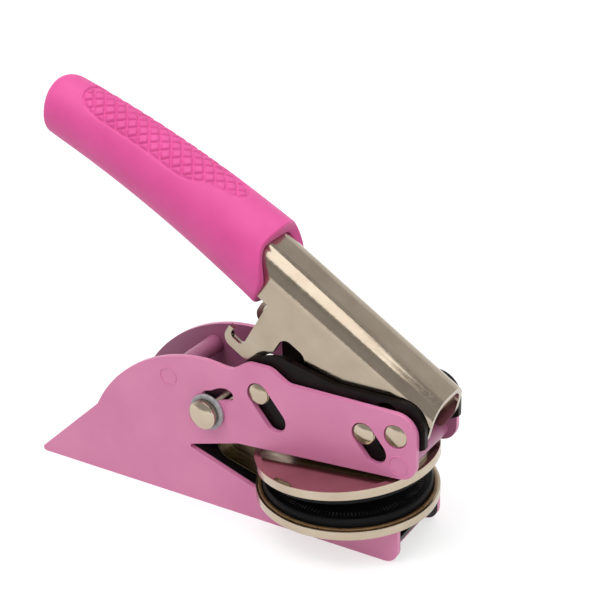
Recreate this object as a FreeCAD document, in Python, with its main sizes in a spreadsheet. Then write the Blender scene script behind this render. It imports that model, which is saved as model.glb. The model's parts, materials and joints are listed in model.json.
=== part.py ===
import FreeCAD, Part
import math
import os
import re

import Sketcher

# Hand-held seal embosser, in millimetres. The origin lies on the base underside, below the centre
# of the dies. +X points to the paper mouth, +Y to the left side and +Z up.

SIZES = {
    # Frame: two side plates, a base plate between them and two spacer bars
    "half_width": 12.3,
    "plate_wall": 1.6,
    "base_wall": 1.6,
    "tail_back": 100.2,
    "tail_round": 1.0,
    "base_inset": 6.0,
    "hump_back": 75.5,
    "hump_foot": 22.0,
    "hump_crest_back": 36.0,
    "hump_rise": 7.4,
    "hump_round": 45.0,
    "arm_rise": 6.5,
    "tab_back": 28.0,
    "tab_front": 10.5,
    "tab_slope_run": 5.2,
    "tab_rise": 9.9,
    "tab_round": 4.0,
    "arm_front": 26.9,
    "arm_drop": 11.6,
    "arm_top_round": 6.0,
    "arm_low_round": 5.0,
    "throat_back": 27.0,
    "throat_roof": 22.6,
    "apex_back": 43.0,
    "apex_roof": 17.9,
    "apex_floor": 16.9,
    "jaw_height": 10.0,
    "jaw_slope_back": 22.9,
    "jaw_front": 21.7,
    "jaw_round": 4.0,
    "spacer_radius": 2.7,
    "rear_spacer_back": 49.1,
    "rear_spacer_drop": 0.6,
    "front_spacer_reach": 21.8,
    "front_spacer_drop": 8.2,
    "spacer_recess": 0.05,
    # Pins and the slots that guide them
    "pivot_reach": 21.0,
    "pivot_over_rail": 11.6295,
    "pivot_radius": 3.24,
    "running_fit": 0.06,
    "slide_pin_radius": 3.05,
    "slot_play": 0.25,
    "pin_recess": 0.5,
    "pin_edge": 0.4,
    "press_pin_reach": 11.75,
    "press_pin_drop": 1.85,
    "guide_pin_back": 19.85,
    "guide_pin_rise": 1.3,
    "press_angle": 52.0,
    "press_travel": 5.5,
    "guide_slot_travel": 8.4,
    # Lock pin and its curved slot
    "lock_turn_back": 29.6,
    "lock_turn_drop": 7.9,
    "lock_turn_radius": 6.6,
    "lock_pin_radius": 1.5,
    "lock_slot_rise": 16.0,
    "lock_slot_run": 7.1,
    "lock_corner_rise": 4.4,
    "lock_head_radius": 4.2,
    "lock_head_length": 2.4,
    "lock_head_edge": 0.8,
    "lock_bore_depth": 1.2,
    "lock_washer_radius": 5.2,
    "lock_washer_wall": 1.0,
    "lock_side_play": 0.15,
    # Press arm: a channel that carries the press pin and the guide pin
    "side_play": 0.3,
    "arm_wall": 1.6,
    "press_rise": 9.0,
    "press_front": 28.3,
    "press_front_round": 7.0,
    "press_leg_drop": 2.7,
    "press_kink": 3.0,
    "press_peak_back": 14.0,
    "press_peak_rise": 13.0,
    "press_neck_back": 19.5,
    "press_tail_back": 25.3,
    "press_tail_rise": 11.5,
    "press_tail_drop": 10.9,
    "press_floor_drop": 9.7,
    "press_floor_back": 2.0,
    "press_floor_front": 15.0,
    "press_round": 2.5,
    "press_rear_round": 5.5,
    "foot_reach": 10.8,
    "foot_half_length": 3.0,
    "foot_half_width": 5.0,
    "foot_play": 0.3,
    # Handle: a channel that turns on the pivot pin, with a rubber grip
    "handle_tilt": 33.2,
    "handle_press": 19.0,
    "handle_wall": 1.5,
    "handle_top": 12.3,
    "handle_bend": 5.8,
    "handle_front": 3.1,
    "lobe_radius": 6.3,
    "lobe_low": 2.6,
    "cam_front": 3.0,
    "cam_back": 11.8,
    "cam_low": 11.6,
    "cam_play": 0.4,
    "belly_front": 16.5,
    "belly_high": 1.6,
    "belly_back": 30.5,
    "belly_low": 5.2,
    "notch_front": 31.6,
    "notch_top": 3.9,
    "notch_back": 38.8,
    "notch_mouth": 10.4,
    "notch_round": 2.6,
    "hook_bottom": 18.6,
    "hook_throat": 43.2,
    "hook_back": 52.6,
    "hook_tip": 13.4,
    "hook_round": 3.0,
    "catch_wall": 1.4,
    "catch_width": 4.6,
    "catch_floor": 15.8,
    "catch_round": 1.5,
    "neck_back": 47.0,
    "neck_low": 0.4,
    "channel_back": 64.0,
    "tongue_half_width": 4.5,
    "tongue_knee_back": 82.0,
    "tongue_knee_height": 5.4,
    "tongue_back": 122.0,
    "tongue_end_height": 0.2,
    # Grip: round sections along a line that bends down behind the handle
    "grip_mouth": 54.4,
    "grip_end": 131.5,
    "grip_wide": 11.3,
    "grip_slim": 8.6,
    "grip_middle": 5.8,
    "grip_drop": 9.3,
    "grip_end_round": 6.6,
    "grip_mouth_round": 1.2,
    # Discs and dies of the insert
    "disc_radius": 25.0,
    "disc_wall": 2.45,
    "rim_width": 1.85,
    "die_seat": 0.8,
    "die_proud": 2.45,
    "die_gap": 0.34,
    "top_recess": 0.6,
    "upper_tilt": 4.97,
    "upper_turn_back": 39.0,
    "upper_turn_height": 21.0,
    "mark_length": 4.6,
    "mark_width": 1.2,
    "mark_angle": 104.0,
    # Insert spring, thrust rail and their rivets
    "leaf_wall": 0.8,
    "leaf_half_width": 6.0,
    "leaf_bend": 4.2,
    "leaf_bend_reach": 4.6,
    "leaf_rise_angle": 15.0,
    "leaf_low_end_back": 4.0,
    "leaf_front_inset": 6.5,
    "land_play": 1.8,
    "rail_wall": 1.2,
    "rail_half_width": 9.9,
    "rail_back": 10.5,
    "rail_reach": 17.5,
    "rivet_radius": 1.2,
    "rivet_head_radius": 2.1,
    "rivet_head": 0.8,
    "rivet_edge": 0.4,
    "upper_rivet_back": 7.0,
    "upper_rivet_reach": 1.0,
    "lower_rivet_inset": 7.0,
    "lower_rivet_pitch": 10.0,
    "stud_gap": 0.5,
    "stud_offset": 1.5,
    "stud_radius": 1.9,
    "stud_height": 1.3,
    "overrun": 1.0,
}
EXPRESSION_WORDS = ("cos", "sin", "tan", "sqrt")

doc = FreeCAD.newDocument("seal_embosser")
sheet = doc.addObject("Spreadsheet::Sheet", "Sizes")
for row, (alias, size) in enumerate(SIZES.items(), start=1):
    sheet.set("A%d" % row, alias)
    sheet.set("B%d" % row, str(size))
    sheet.setAlias("B%d" % row, alias)
doc.recompute()

UP = FreeCAD.Vector(0, 0, 1)
LEFT = FreeCAD.Vector(0, 1, 0)
PARTS = []


def bound(formula):
    """Write the sheet's name before each named size of a formula."""
    def named(match):
        word = match.group(0)
        return word if word in EXPRESSION_WORDS else "Sizes." + word
    return re.sub(r"[a-z][a-z_]+", named, formula)


def value(formula):
    """Work a formula of named sizes out as a number."""
    return float(sheet.evalExpression(bound(formula)))


def plane(body, role):
    return [f for f in body.Origin.OriginFeatures if f.Role == role][0]


def new_body(label):
    body = doc.addObject("PartDesign::Body", label)
    body.Label = label
    PARTS.append(body)
    return body


def place(piece, x="0", y="0", z="0", turn=None):
    """Put a piece at named distances, turned about +Y by a named angle."""
    angle = value(turn) if turn else 0
    piece.Placement = FreeCAD.Placement(
        FreeCAD.Vector(value(x), value(y), value(z)), FreeCAD.Rotation(LEFT, angle)
    )
    for axis, formula in (("x", x), ("y", y), ("z", z)):
        piece.setExpression("Placement.Base." + axis, bound(formula))
    if turn:
        piece.setExpression("Placement.Rotation.Angle", bound(turn))


def sketch_on(body, role, name):
    sketch = body.newObject("Sketcher::SketchObject", name)
    sketch.AttachmentSupport = (plane(body, role), "")
    sketch.MapMode = "FlatFace"
    return sketch


def fix_point(sketch, geometry, vertex, across, up):
    """Hold one vertex of a sketch at two named distances from its origin."""
    for kind, formula in (("DistanceX", across), ("DistanceY", up)):
        number = sketch.addConstraint(
            Sketcher.Constraint(kind, -1, 1, geometry, vertex, value(formula))
        )
        sketch.setExpression("Constraints[%d]" % number, bound(formula))


def arc_between(start, end, radius):
    """Make an arc that turns counter-clockwise from start to end."""
    chord = end - start
    half = chord.Length / 2
    left = FreeCAD.Vector(-chord.y, chord.x, 0).normalize()
    middle = (start + end) / 2
    ring = Part.Circle(middle + left * math.sqrt(radius * radius - half * half), UP, radius)
    return Part.ArcOfCircle(ring, ring.parameter(start), ring.parameter(end))


def outline(sketch, corners):
    """Draw a closed outline, clockwise, from corners that each start a line or an arc.

    A third entry is the radius of an arc to the next corner, and a fourth, "inward", turns the
    arc's hollow side outward.
    """
    points = [FreeCAD.Vector(value(c[0]), value(c[1]), 0) for c in corners]
    for i, corner in enumerate(corners):
        following = (i + 1) % len(corners)
        start, end = points[i], points[following]
        vertices = (1, 2)
        if len(corner) == 2:
            number = sketch.addGeometry(Part.LineSegment(start, end))
        elif len(corner) == 3:
            vertices = (2, 1)
            number = sketch.addGeometry(arc_between(end, start, value(corner[2])))
        else:
            number = sketch.addGeometry(arc_between(start, end, value(corner[2])))
        fix_point(sketch, number, vertices[0], *corner[:2])
        fix_point(sketch, number, vertices[1], *corners[following][:2])
        if len(corner) > 2:
            hold_radius(sketch, number, corner[2])


def hold_radius(sketch, number, radius):
    """Bind the radius of one circle or arc of a sketch."""
    held = sketch.addConstraint(Sketcher.Constraint("Radius", number, value(radius)))
    sketch.setExpression("Constraints[%d]" % held, bound(radius))


def circle(sketch, across, up, radius):
    centre = FreeCAD.Vector(value(across), value(up), 0)
    number = sketch.addGeometry(Part.Circle(centre, UP, value(radius)))
    fix_point(sketch, number, 3, across, up)
    hold_radius(sketch, number, radius)


def slot(sketch, first, second, radius):
    """Draw a straight slot round two named centres."""
    a = FreeCAD.Vector(value(first[0]), value(first[1]), 0)
    b = FreeCAD.Vector(value(second[0]), value(second[1]), 0)
    size = value(radius)
    along = (b - a).normalize()
    side = FreeCAD.Vector(-along.y, along.x, 0) * size
    ends = []
    for centre, outward in ((a, along * -1), (b, along)):
        ring = Part.Circle(centre, UP, size)
        middle = math.atan2(outward.y, outward.x)
        arc = Part.ArcOfCircle(ring, middle - math.pi / 2, middle + math.pi / 2)
        ends.append(sketch.addGeometry(arc))
    upper = sketch.addGeometry(Part.LineSegment(a + side, b + side))
    lower = sketch.addGeometry(Part.LineSegment(a - side, b - side))
    for pair in (
        (ends[0], 1, upper, 1), (ends[1], 2, upper, 2), (ends[0], 2, lower, 1), (ends[1], 1, lower, 2)
    ):
        sketch.addConstraint(Sketcher.Constraint("Tangent", *pair))
    sketch.addConstraint(Sketcher.Constraint("Equal", ends[0], ends[1]))
    fix_point(sketch, ends[0], 3, first[0], first[1])
    fix_point(sketch, ends[1], 3, second[0], second[1])
    hold_radius(sketch, ends[0], radius)


def pad(body, sketch, length, middle=True, name="Pad"):
    feature = body.newObject("PartDesign::Pad", name)
    feature.Profile = sketch
    feature.Midplane = middle
    feature.Length = value(length)
    feature.setExpression("Length", bound(length))
    sketch.Visibility = False
    return feature


def pocket(body, sketch, length, middle=True, flip=False, name="Pocket"):
    """Cut a pocket and make sure that it took something away."""
    doc.recompute()
    before = body.Shape.Volume
    feature = body.newObject("PartDesign::Pocket", name)
    feature.Profile = sketch
    feature.Midplane = middle
    feature.Reversed = flip
    feature.Length = value(length)
    feature.setExpression("Length", bound(length))
    sketch.Visibility = False
    doc.recompute()
    if not body.Shape.Volume < before:
        raise RuntimeError("a pocket of %s cut nothing" % body.Label)
    return feature


def edges_at(shape, spots):
    """Name the edges along Y that stand at the given corners of an outline."""
    found = []
    for number, edge in enumerate(shape.Edges, start=1):
        ends = [v.Point for v in edge.Vertexes]
        if len(ends) != 2 or abs(ends[0].y - ends[1].y) < value("plate_wall") / 2:
            continue
        for across, up in spots:
            spot = (value(across), value(up))
            if all(math.hypot(p.x - spot[0], p.z - spot[1]) < value("running_fit") for p in ends):
                found.append("Edge%d" % number)
    return found


def round_corners(body, base, spots, radius, name="Fillet"):
    """Round the outline's corners at the given spots. Body and spots are in the body's own frame."""
    doc.recompute()
    names = edges_at(base.Shape, spots)
    if not names:
        raise RuntimeError("no corner to round on %s" % body.Label)
    feature = body.newObject("PartDesign::Fillet", name)
    feature.Base = (base, names)
    feature.Radius = value(radius)
    feature.setExpression("Radius", bound(radius))
    doc.recompute()
    return feature


def moved(spot, angle, travel):
    """Move a named spot forward and down along the press direction."""
    across = "%s + cos(%s) * %s" % (spot[0], angle, travel)
    up = "%s - sin(%s) * %s" % (spot[1], angle, travel)
    return (across, up)


# Heights of the upper seal in its own tilted frame, and of the linkage above its thrust rail
UPPER_BOTTOM = "(jaw_height + disc_wall + 2 * die_proud + die_gap - upper_turn_height)"
UPPER_TOP = "(%s + disc_wall)" % UPPER_BOTTOM
RAIL_TOP = "(%s + leaf_wall + rail_wall)" % UPPER_TOP
RAIL_RISE = "tan(upper_tilt) * (upper_turn_back + foot_reach)"
RAIL_LEVEL = "(upper_turn_height + %s + %s)" % (RAIL_RISE, RAIL_TOP)
PIVOT_HEIGHT = "(%s + pivot_over_rail)" % RAIL_LEVEL
HUMP_CREST = "(%s + hump_rise)" % PIVOT_HEIGHT
ARM_TOP = "(%s + arm_rise)" % PIVOT_HEIGHT
TAB_TOP = "(%s + tab_rise)" % PIVOT_HEIGHT
ARM_LOW = "(%s - arm_drop)" % PIVOT_HEIGHT
LOCK_TURN = "(%s - lock_turn_drop)" % PIVOT_HEIGHT
PRESS_TOP = "(%s + press_rise)" % PIVOT_HEIGHT
PRESS_PEAK = "(%s + press_peak_rise)" % PIVOT_HEIGHT
PRESS_TAIL_TOP = "(%s + press_tail_rise)" % PIVOT_HEIGHT
PRESS_TAIL_LOW = "(%s - press_tail_drop)" % PIVOT_HEIGHT
PRESS_LEG_LOW = "(%s - press_leg_drop)" % PIVOT_HEIGHT
PRESS_FLOOR = "(%s - press_floor_drop)" % PIVOT_HEIGHT
PIVOT = ("pivot_reach", PIVOT_HEIGHT)
PRESS_PIN = ("press_pin_reach", PIVOT_HEIGHT + " - press_pin_drop")
GUIDE_PIN = ("-guide_pin_back", PIVOT_HEIGHT + " + guide_pin_rise")
PRESS_PIN_END = moved(PRESS_PIN, "press_angle", "press_travel")
GUIDE_PIN_END = moved(GUIDE_PIN, "press_angle", "guide_slot_travel")
REAR_SPACER = ("-rear_spacer_back", PIVOT_HEIGHT + " - rear_spacer_drop")
FRONT_SPACER = ("front_spacer_reach", PIVOT_HEIGHT + " - front_spacer_drop")
LOCK_LOW = ("-lock_turn_back - lock_turn_radius", LOCK_TURN)
LOCK_CORNER = ("-lock_turn_back - lock_turn_radius", LOCK_TURN + " + lock_corner_rise")
LOCK_SLOT = "(lock_pin_radius + slot_play)"
PIN_SLOT = "slide_pin_radius + slot_play"
PIN_LENGTH = "2 * (half_width - pin_recess)"


def side_plate(label, side):
    """One side plate: tail, hump, tab over the guide slot, upper arm, throat and lower jaw."""
    body = new_body(label)
    profile = sketch_on(body, "XZ_Plane", label + "_outline")
    tail = ("-tail_back", "0")
    tab = [
        ("-tab_back", ARM_TOP), ("-tab_back + tab_slope_run", TAB_TOP),
        ("-tab_front - tab_slope_run", TAB_TOP), ("-tab_front", ARM_TOP),
    ]
    outline(profile, [
        tail,
        ("-hump_back", "hump_foot", "hump_round"),
        ("-hump_crest_back", HUMP_CREST),
        *tab,
        ("arm_front", ARM_TOP),
        ("arm_front", ARM_LOW),
        ("-throat_back", "throat_roof"),
        ("-apex_back", "apex_roof"),
        ("-apex_back", "apex_floor"),
        ("-jaw_slope_back", "jaw_height"),
        ("jaw_front", "jaw_height"),
        ("jaw_front", "0"),
    ])
    solid = pad(body, profile, "plate_wall")
    for spots, radius in (
        ([tail], "tail_round"),
        (tab, "tab_round"),
        ([("arm_front", ARM_TOP)], "arm_top_round"),
        ([("arm_front", ARM_LOW)], "arm_low_round"),
        ([("jaw_front", "0")], "jaw_round"),
        ([("-hump_back", "hump_foot")], "tab_round"),
    ):
        solid = round_corners(body, solid, spots, radius)
    holes = sketch_on(body, "XZ_Plane", label + "_holes")
    circle(holes, PIVOT[0], PIVOT[1], "pivot_radius + running_fit")
    circle(holes, REAR_SPACER[0], REAR_SPACER[1], "spacer_radius")
    circle(holes, FRONT_SPACER[0], FRONT_SPACER[1], "spacer_radius")
    slot(holes, PRESS_PIN, PRESS_PIN_END, PIN_SLOT)
    slot(holes, GUIDE_PIN, GUIDE_PIN_END, PIN_SLOT)
    pocket(body, holes, "plate_wall + overrun")
    rise = sketch_on(body, "XZ_Plane", label + "_lock_rise")
    slot(rise, LOCK_LOW, LOCK_CORNER, LOCK_SLOT)
    pocket(body, rise, "plate_wall + overrun")
    run = sketch_on(body, "XZ_Plane", label + "_lock_run")
    far_end = (
        LOCK_CORNER[0] + " + cos(lock_slot_rise) * lock_slot_run",
        LOCK_CORNER[1] + " + sin(lock_slot_rise) * lock_slot_run",
    )
    slot(run, LOCK_CORNER, far_end, LOCK_SLOT)
    pocket(body, run, "plate_wall + overrun")
    sweep = sketch_on(body, "XZ_Plane", label + "_lock_sweep")
    curved_slot(sweep)
    pocket(body, sweep, "plate_wall + overrun")
    place(body, y="%s * (half_width - plate_wall / 2)" % side)
    return body


def curved_slot(sketch):
    """The quarter ring that the lock pin sweeps as it rides over its slot's corner."""
    centre = FreeCAD.Vector(-value("lock_turn_back"), value(LOCK_TURN), 0)
    middle = value("lock_turn_radius")
    play = value(LOCK_SLOT)
    low = FreeCAD.Vector(-middle, 0, 0)
    high = FreeCAD.Vector(0, middle, 0)
    step = FreeCAD.Vector(play, 0, 0)
    lift = FreeCAD.Vector(0, play, 0)
    outer = Part.Circle(centre, UP, middle + play)
    inner = Part.Circle(centre, UP, middle - play)
    quarter = (math.pi / 2, math.pi)
    wide = sketch.addGeometry(Part.ArcOfCircle(outer, *quarter))
    tight = sketch.addGeometry(Part.ArcOfCircle(inner, *quarter))
    foot = sketch.addGeometry(Part.LineSegment(centre + low - step, centre + low + step))
    head = sketch.addGeometry(Part.LineSegment(centre + high + lift, centre + high - lift))
    sizes = (
        (wide, "lock_turn_radius + " + LOCK_SLOT), (tight, "lock_turn_radius - " + LOCK_SLOT)
    )
    for ring, formula in sizes:
        fix_point(sketch, ring, 3, "-lock_turn_back", LOCK_TURN)
        hold_radius(sketch, ring, formula)
    for pair in ((wide, 2, foot, 1), (tight, 2, foot, 2), (wide, 1, head, 1), (tight, 1, head, 2)):
        sketch.addConstraint(Sketcher.Constraint("Coincident", *pair))
    sketch.addConstraint(Sketcher.Constraint("Horizontal", foot))
    sketch.addConstraint(Sketcher.Constraint("Vertical", head))


def base_plate():
    body = new_body("base_plate")
    profile = sketch_on(body, "XY_Plane", "base_outline")
    rear = "-tail_back + base_inset"
    front = "jaw_front - jaw_round"
    edge = "half_width - plate_wall"
    outline(profile, [
        (rear, "-(%s)" % edge), (rear, edge), (front, edge), (front, "-(%s)" % edge),
    ])
    pad(body, profile, "base_wall", middle=False)
    place(body)


def bar(label, spot, radius, length, edge=None):
    """A round bar along Y with chamfered ends."""
    body = new_body(label)
    profile = sketch_on(body, "XZ_Plane", label + "_section")
    circle(profile, "0", "0", radius)
    solid = pad(body, profile, length)
    if edge:
        doc.recompute()
        rims = ["Edge%d" % n for n, e in enumerate(solid.Shape.Edges, start=1) if e.Closed]
        chamfer = body.newObject("PartDesign::Chamfer", "Chamfer")
        chamfer.Base = (solid, rims)
        chamfer.Size = value(edge)
        chamfer.setExpression("Size", bound(edge))
    place(body, x=spot[0], z=spot[1])
    return body


def press_arm():
    """Channel with its plates outside the handle, open at the front over the pivot pin."""
    body = new_body("press_arm")
    profile = sketch_on(body, "XZ_Plane", "press_arm_outline")
    rear_low = ("-press_tail_back", PRESS_TAIL_LOW)
    rear_top = ("-press_tail_back", PRESS_TAIL_TOP)
    peak = ("-press_peak_back", PRESS_PEAK)
    nose = ("press_front", PRESS_TOP)
    outline(profile, [
        rear_low,
        rear_top,
        ("-press_neck_back", PRESS_TAIL_TOP),
        peak,
        ("press_kink", PRESS_TOP),
        nose,
        ("press_front", PRESS_LEG_LOW),
        ("press_floor_front", PRESS_FLOOR),
        ("press_floor_back", PRESS_FLOOR),
    ])
    solid = pad(body, profile, "2 * (half_width - plate_wall - side_play)")
    solid = round_corners(body, solid, [nose], "press_front_round")
    solid = round_corners(body, solid, [peak], "press_round")
    round_corners(body, solid, [rear_low, rear_top], "press_rear_round")
    inside = sketch_on(body, "XZ_Plane", "press_arm_inside")
    back = "-press_tail_back - overrun"
    front = "press_front + overrun"
    top = PRESS_PEAK + " + overrun"
    floor = PRESS_FLOOR + " + arm_wall"
    low = PRESS_TAIL_LOW + " - overrun"
    outline(inside, [
        (back, low), (back, top), (front, top), (front, low),
        ("press_floor_front", low), ("press_floor_front", floor),
        ("press_floor_back", floor), ("press_floor_back", low),
    ])
    pocket(body, inside, "2 * (half_width - plate_wall - side_play - arm_wall)")
    holes = sketch_on(body, "XZ_Plane", "press_arm_holes")
    circle(holes, PRESS_PIN[0], PRESS_PIN[1], "slide_pin_radius")
    circle(holes, GUIDE_PIN[0], GUIDE_PIN[1], "slide_pin_radius")
    pocket(body, holes, "2 * half_width")
    up_and_back = "-press_travel"
    for name, spot, radius in (
        ("press_arm_fork", PIVOT, "pivot_radius + side_play"),
        ("press_arm_bar_way", FRONT_SPACER, "spacer_radius + side_play"),
    ):
        way = sketch_on(body, "XZ_Plane", name)
        slot(way, spot, moved(spot, "press_angle", up_and_back), radius)
        pocket(body, way, "2 * half_width")
    place(body)


def press_foot():
    """Rounded steel foot below the channel's floor, which bears on the thrust rail."""
    body = new_body("press_foot")
    profile = sketch_on(body, "XZ_Plane", "press_foot_outline")
    low = RAIL_LEVEL + " + foot_play"
    rear = ("foot_reach - foot_half_length", PRESS_FLOOR)
    front = ("foot_reach + foot_half_length", PRESS_FLOOR)
    outline(profile, [
        rear, front, ("foot_reach + foot_half_length / 3", low),
        ("foot_reach - foot_half_length / 3", low),
    ])
    pad(body, profile, "2 * foot_half_width")
    place(body)


HANDLE_HALF = "(half_width - plate_wall - 2 * side_play - arm_wall)"
HANDLE_INNER = "(%s - handle_wall)" % HANDLE_HALF


def in_handle(spot, tilt):
    """Give a world spot's place in the handle's frame at a tilt."""
    across = "(%s - pivot_reach)" % spot[0]
    up = "(%s - %s)" % (spot[1], PIVOT_HEIGHT)
    return (
        "%s * cos(%s) - %s * sin(%s)" % (across, tilt, up, tilt),
        "%s * sin(%s) + %s * cos(%s)" % (across, tilt, up, tilt),
    )


def long_edges(shape, half_width, height):
    """Name the edges along X that lie at a half width and a height, on either side."""
    found = []
    fit = value("running_fit")
    for number, edge in enumerate(shape.Edges, start=1):
        ends = [v.Point for v in edge.Vertexes]
        if len(ends) != 2 or abs(ends[0].y - ends[1].y) > fit:
            continue
        if all(abs(abs(p.y) - half_width) < fit and abs(p.z - height) < fit for p in ends):
            found.append("Edge%d" % number)
    return found


def handle_lever():
    """Folded channel with hooked side plates, and a tongue for the grip, in its own tilted frame."""
    body = new_body("handle_lever")
    profile = sketch_on(body, "XZ_Plane", "handle_outline")
    notch = [("-notch_front", "-notch_top"), ("-notch_back", "-notch_top")]
    hook = [("-hook_throat", "-hook_bottom"), ("-hook_back", "-hook_bottom")]
    catch_back = "-hook_back + catch_wall"
    catch = [(catch_back, "-catch_floor"), (catch_back + " + catch_width", "-catch_floor")]
    cam = [("-cam_front", "-cam_low"), ("-cam_back", "-cam_low")]
    front = [("lobe_radius", "lobe_radius / 2"), ("lobe_radius", "-lobe_low")]
    outline(profile, [
        ("-channel_back", "handle_top"),
        ("handle_front", "handle_top"),
        *front,
        *cam,
        ("-belly_front", "-belly_high"),
        ("-belly_back", "-belly_low"),
        *notch,
        ("-notch_back", "-notch_mouth"),
        *hook,
        ("-hook_back", "-hook_tip"),
        (catch_back, "-hook_tip"),
        *catch,
        ("-neck_back", "neck_low"),
        ("-channel_back", "neck_low"),
    ])
    solid = pad(body, profile, "2 * " + HANDLE_HALF)
    for spots, radius in (
        (front, "lobe_radius / 2"), (cam, "notch_round"), (notch, "notch_round"),
        (hook, "hook_round"), (catch, "catch_round"),
    ):
        solid = round_corners(body, solid, spots, radius)
    solid = bend(body, solid, value(HANDLE_HALF), value("handle_top"), "handle_bend")
    under = "handle_top - handle_wall"
    inside = sketch_on(body, "YZ_Plane", "handle_inside")
    round_in = "(handle_bend - handle_wall)"
    shoulder = HANDLE_INNER + " - " + round_in
    low = "-hook_bottom - overrun"
    outline(inside, [
        ("-" + HANDLE_INNER, low),
        ("-" + HANDLE_INNER, under + " - " + round_in, round_in),
        ("-(%s)" % shoulder, under),
        (shoulder, under, round_in),
        (HANDLE_INNER, under + " - " + round_in),
        (HANDLE_INNER, low),
    ])
    pocket(body, inside, "2 * (channel_back + lobe_radius)")
    pivot = sketch_on(body, "XZ_Plane", "handle_pivot_hole")
    circle(pivot, "0", "0", "pivot_radius + running_fit")
    pocket(body, pivot, "2 * half_width")
    closed = "(handle_tilt - handle_press)"
    for name, spot, end, radius in (
        ("handle_cam_slot", PRESS_PIN, PRESS_PIN_END, "slide_pin_radius + cam_play"),
        ("handle_bar_way", FRONT_SPACER, FRONT_SPACER, "spacer_radius + side_play"),
    ):
        way = sketch_on(body, "XZ_Plane", name)
        slot(way, in_handle(spot, "handle_tilt"), in_handle(end, closed), radius)
        pocket(body, way, "2 * half_width")
    tongue = sketch_on(body, "XZ_Plane", "handle_tongue")
    outline(tongue, [
        ("-tongue_back", "tongue_end_height + handle_wall"),
        ("-tongue_knee_back", "tongue_knee_height + handle_wall"),
        ("-channel_back", "handle_top"),
        ("-channel_back + handle_wall", "handle_top"),
        ("-channel_back + handle_wall", under),
        ("-channel_back", under),
        ("-tongue_knee_back", "tongue_knee_height"),
        ("-tongue_back", "tongue_end_height"),
    ])
    pad(body, tongue, "2 * tongue_half_width", name="Tongue")
    place(body, x=PIVOT[0], z=PIVOT[1], turn="handle_tilt")
    return body


def bend(body, base, half_width, height, radius):
    """Round the channel's two long edges at a half width and a height."""
    doc.recompute()
    names = long_edges(base.Shape, half_width, height)
    feature = body.newObject("PartDesign::Fillet", "Bend")
    feature.Base = (base, names)
    feature.Radius = value(radius)
    feature.setExpression("Radius", bound(radius))
    doc.recompute()
    return feature


GRIP_SHARES = (0, 0.2, 0.4, 0.6, 0.8, 1)


def grip(lever):
    """Rubber grip: a loft of round sections, moulded round the channel's rear and the tongue."""
    body = doc.addObject("PartDesign::Body", "grip_form")
    sections = []
    for number, share in enumerate(GRIP_SHARES):
        sketch = sketch_on(body, "YZ_Plane", "grip_section_%d" % number)
        back = "grip_mouth + (grip_end - grip_mouth) * %s" % share
        sketch.AttachmentOffset = FreeCAD.Placement(
            FreeCAD.Vector(0, 0, -value(back)), FreeCAD.Rotation()
        )
        sketch.setExpression("AttachmentOffset.Base.z", bound("-(%s)" % back))
        middle = "grip_middle - grip_drop * %s" % (share * share)
        circle(sketch, "0", middle, "grip_wide + (grip_slim - grip_wide) * %s" % share)
        sketch.Visibility = False
        sections.append(sketch)
    loft = body.newObject("PartDesign::AdditiveLoft", "Loft")
    loft.Profile = sections[0]
    loft.Sections = sections[1:]
    doc.recompute()
    for back, radius in (("grip_end", "grip_end_round"), ("grip_mouth", "grip_mouth_round")):
        fillet = body.newObject("PartDesign::Fillet", "Rim")
        fillet.Base = (loft, [closed_rim(loft.Shape, -value(back))])
        fillet.Radius = value(radius)
        fillet.setExpression("Radius", bound(radius))
        doc.recompute()
        loft = fillet
    place(body, x=PIVOT[0], z=PIVOT[1], turn="handle_tilt")
    cut = doc.addObject("Part::Cut", "grip")
    cut.Label = "grip"
    cut.Base = body
    cut.Tool = lever
    PARTS.append(cut)


def closed_rim(shape, across):
    """Name the ring edge that lies at a place along X."""
    fit = value("running_fit")
    for number, edge in enumerate(shape.Edges, start=1):
        box = edge.BoundBox
        if box.XLength < fit and abs(box.XMin - across) < fit:
            return "Edge%d" % number
    raise RuntimeError("no rim on the grip")


def upper(lx, lz):
    """Give a place in the upper disc's tilted frame as a place of the whole."""
    return (
        "(-upper_turn_back + (%s) * cos(upper_tilt) - (%s) * sin(upper_tilt))" % (lx, lz),
        "(upper_turn_height + (%s) * sin(upper_tilt) + (%s) * cos(upper_tilt))" % (lx, lz),
    )


def lift(sketch, height):
    sketch.AttachmentOffset = FreeCAD.Placement(
        FreeCAD.Vector(0, 0, value(height)), FreeCAD.Rotation()
    )
    sketch.setExpression("AttachmentOffset.Base.z", bound(height))


def round_pad(body, across, radius, low, thickness, name):
    """Add a round plate whose underside is at a height."""
    sketch = sketch_on(body, "XY_Plane", name)
    lift(sketch, low)
    circle(sketch, across, "0", radius)
    return pad(body, sketch, thickness, middle=False, name=name + "_pad")


def round_pocket(body, across, radius, low, depth, name):
    """Cut a round hole upward from a height."""
    sketch = sketch_on(body, "XY_Plane", name)
    lift(sketch, low)
    circle(sketch, across, "0", radius)
    return pocket(body, sketch, depth, middle=False, flip=True, name=name + "_cut")


def soften(body, base, height, radius):
    """Chamfer the ring edges at a height of the body's own frame."""
    doc.recompute()
    fit = value("running_fit")
    names = []
    for number, edge in enumerate(base.Shape.Edges, start=1):
        box = edge.BoundBox
        if box.ZLength < fit and abs(box.ZMin - value(height)) < fit and edge.Closed:
            names.append("Edge%d" % number)
    feature = body.newObject("PartDesign::Chamfer", "Edge")
    feature.Base = (base, names)
    feature.Size = value(radius)
    feature.setExpression("Size", bound(radius))
    return feature


INNER_RADIUS = "(disc_radius - rim_width)"
LOWER_TOP = "(jaw_height + disc_wall)"
LOWER_RIVETS = (
    "(lower_rivet_inset - disc_radius)", "(lower_rivet_inset + lower_rivet_pitch - disc_radius)",
)
UPPER_RIVETS = (
    "(upper_turn_back - upper_rivet_back)", "(upper_turn_back + upper_rivet_reach)",
)
RIVET_HOLE = "rivet_radius + running_fit"


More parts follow.
